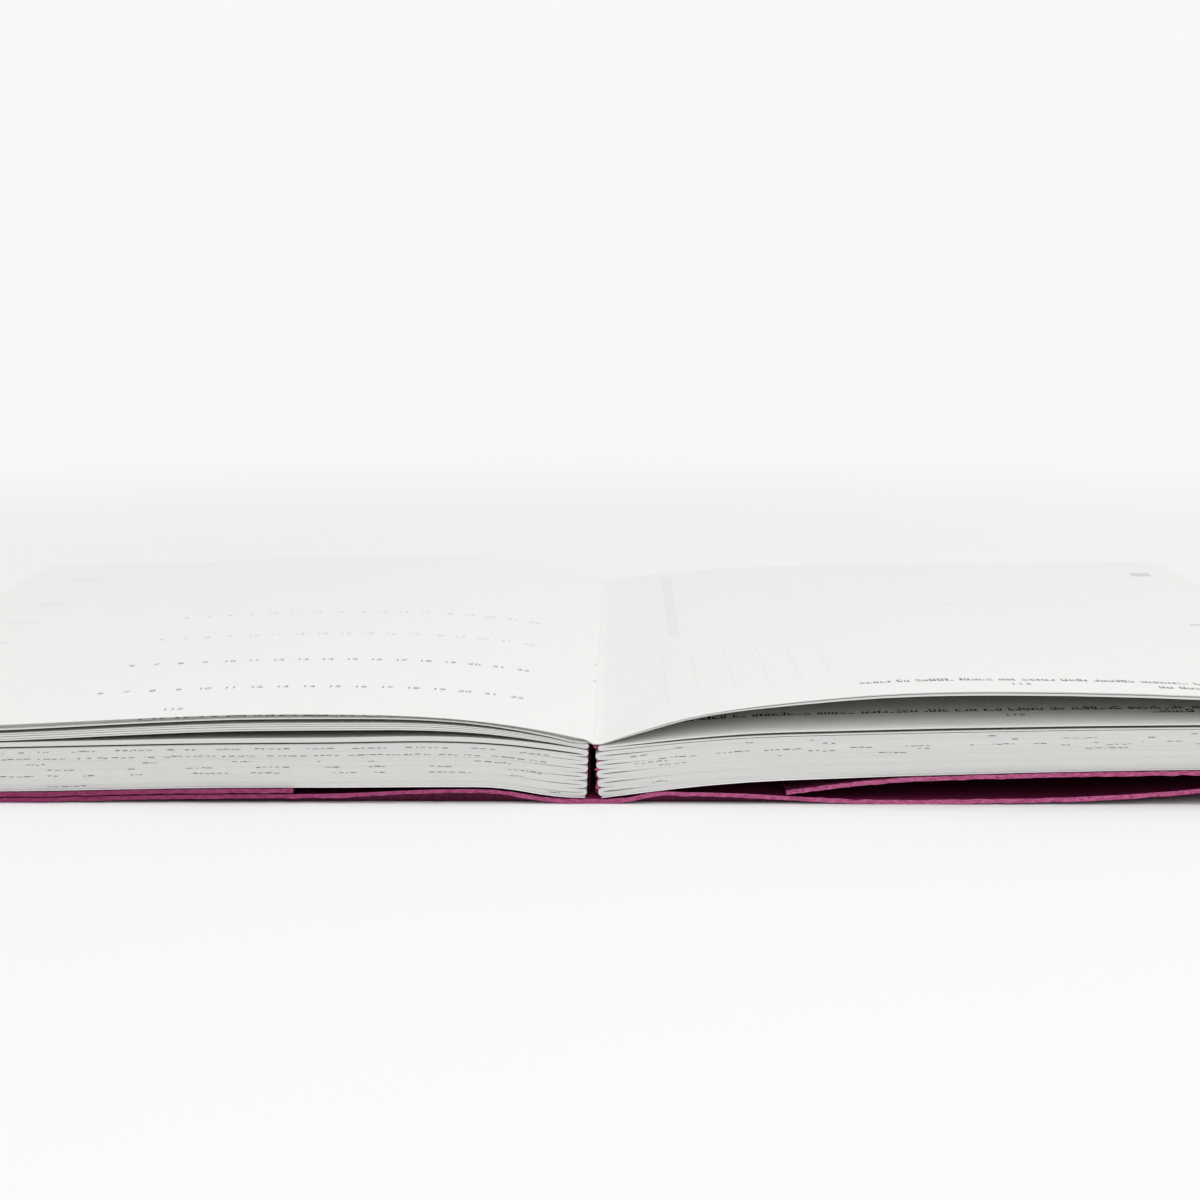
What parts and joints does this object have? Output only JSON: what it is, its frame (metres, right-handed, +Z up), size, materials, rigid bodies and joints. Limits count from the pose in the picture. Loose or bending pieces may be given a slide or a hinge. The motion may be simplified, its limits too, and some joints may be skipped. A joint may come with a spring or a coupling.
{
  "type": "pocket planner",
  "caption": "Pocket planner lying open: two stacks of sewn page sections in a loose leather jacket with turned-in flaps; the front half swings over to close the book.",
  "frame": {"origin": "on the table under the gutter, halfway between foot and head", "axes": "+X to the reader's right across the open book, +Y from foot to head, +Z up from the table"},
  "size_m": [0.216, 0.151, 0.0137],
  "materials": {
    "leather": "matte",
    "page_paper": "matte",
    "endpaper": "matte",
    "lining_cloth": "matte"
  },
  "bodies": {
    "back_half": {"back_cover": "leather", "back_pages": "page_paper", "back_open_section": "page_paper", "back_endpaper": "endpaper", "spine_lining": "lining_cloth"},
    "front_half": {"front_cover": "leather", "front_pages": "page_paper", "front_open_section": "page_paper", "front_endpaper": "endpaper"}
  },
  "joints": [
    {"name": "front_half_close", "type": "hinge", "parent": "back_half", "child": "front_half", "pos_m": [0, 0, 0.0072], "axis": [0, 1, 0], "range_deg": [0, 174], "deforming": ["front_open_section", "back_open_section", "spine_lining"]}
  ]
}
